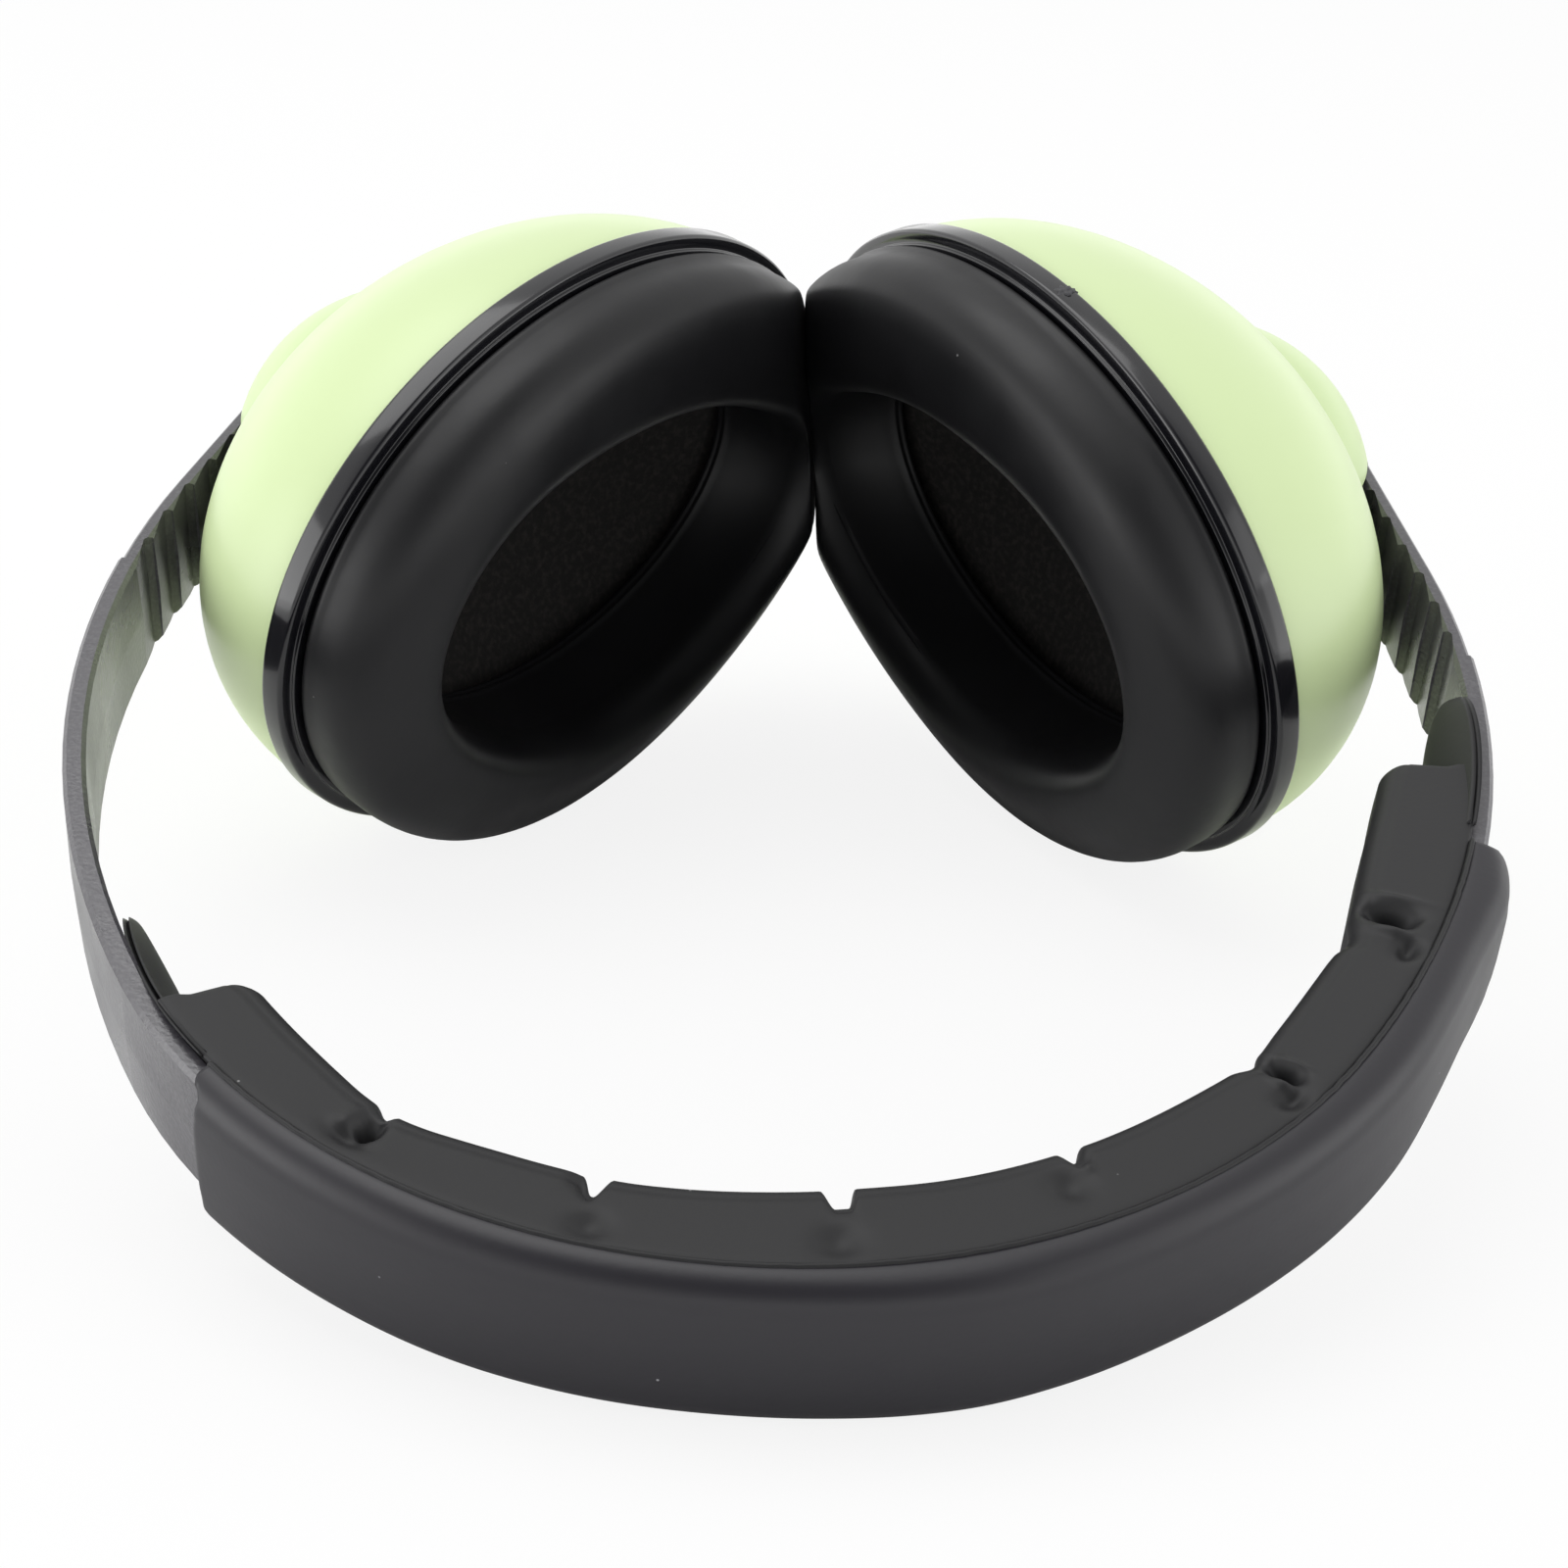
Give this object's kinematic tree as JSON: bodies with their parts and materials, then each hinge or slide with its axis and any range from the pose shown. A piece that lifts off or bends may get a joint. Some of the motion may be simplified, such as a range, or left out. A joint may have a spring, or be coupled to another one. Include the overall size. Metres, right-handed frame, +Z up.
{
  "type": "ear defender",
  "caption": "Passive ear defender lying on a table: sprung strap with padded sleeve, oval cups on ball pivots that slide along the strap.",
  "frame": {"origin": "middle of the flat spot where the sleeve on the crown rests on the table, on the table plane", "axes": "+Z up from the table; +Y from the crown of the strap towards the cups; +X to the right cup, as seen from the crown"},
  "size_m": [0.1345, 0.162, 0.0637],
  "materials": {
    "strap_black": "fine satin",
    "sleeve_black": "soft matt skin",
    "pad_black": "soft matt skin",
    "foam_core": "open foam",
    "cap_green": "satin",
    "shell_green": "satin",
    "rim_black": "gloss",
    "cushion_black": "soft satin skin",
    "liner_foam": "open foam",
    "inner_nylon": "natural",
    "spring_steel": "brushed",
    "screw_steel": "brushed",
    "stud_steel": "polished"
  },
  "bodies": {
    "band": {"headband": "strap_black", "sleeve_outer": "sleeve_black", "sleeve_inner": "pad_black", "sleeve_foam": "foam_core"},
    "slider_left": {"pivot_cap_left": "cap_green", "slider_base_left": "inner_nylon", "detent_spring_left": "spring_steel", "base_screws_left": "screw_steel"},
    "stud_left": {"ball_stud_left": "stud_steel"},
    "swivel_left": {"socket_bush_left": "inner_nylon"},
    "cup_left": {"bush_retainer_left": "inner_nylon", "cup_shell_left": "shell_green", "rim_ring_left": "rim_black", "cushion_clip_ring_left": "inner_nylon", "cushion_skin_left": "cushion_black", "cushion_foam_left": "foam_core", "foam_liner_left": "liner_foam"},
    "slider_right": {"pivot_cap_right": "cap_green", "slider_base_right": "inner_nylon", "detent_spring_right": "spring_steel", "base_screws_right": "screw_steel"},
    "stud_right": {"ball_stud_right": "stud_steel"},
    "swivel_right": {"socket_bush_right": "inner_nylon"},
    "cup_right": {"bush_retainer_right": "inner_nylon", "cup_shell_right": "shell_green", "rim_ring_right": "rim_black", "cushion_clip_ring_right": "inner_nylon", "cushion_skin_right": "cushion_black", "cushion_foam_right": "foam_core", "foam_liner_right": "liner_foam"}
  },
  "joints": [
    {"name": "slide_left", "type": "slide", "parent": "band", "child": "slider_left", "axis": [0.2113, 0.9536, 0.2144], "range_m": [-0.0108, 0.0054]},
    {"name": "turn_left", "type": "hinge", "parent": "slider_left", "child": "stud_left", "pos_m": [-0.05161, 0.1198, 0.03555], "axis": [-0.9773, 0.2032, 0.0596], "range_deg": [-6, 6]},
    {"name": "tilt_left", "type": "hinge", "parent": "stud_left", "child": "swivel_left", "pos_m": [-0.05161, 0.1198, 0.03555], "axis": [-0.028, 0.1551, -0.9875], "range_deg": [-25, 0]},
    {"name": "toe_left", "type": "hinge", "parent": "swivel_left", "child": "cup_left", "pos_m": [-0.05161, 0.1198, 0.03555], "axis": [0.5418, 0.8326, 0.1154], "range_deg": [-3, 3]},
    {"name": "slide_right", "type": "slide", "parent": "band", "child": "slider_right", "axis": [-0.2113, 0.9524, 0.2199], "range_m": [-0.0108, 0]},
    {"name": "turn_right", "type": "hinge", "parent": "slider_right", "child": "stud_right", "pos_m": [0.04361, 0.12522, 0.03549], "axis": [0.9773, 0.2089, 0.0343], "range_deg": [-6, 6]},
    {"name": "tilt_right", "type": "hinge", "parent": "stud_right", "child": "swivel_right", "pos_m": [0.04361, 0.12522, 0.03549], "axis": [0.0125, -0.2188, 0.9757], "range_deg": [-25, 0]},
    {"name": "toe_right", "type": "hinge", "parent": "swivel_right", "child": "cup_right", "pos_m": [0.04361, 0.12522, 0.03549], "axis": [-0.565, 0.8035, 0.1875], "range_deg": [-3, 3]}
  ]
}
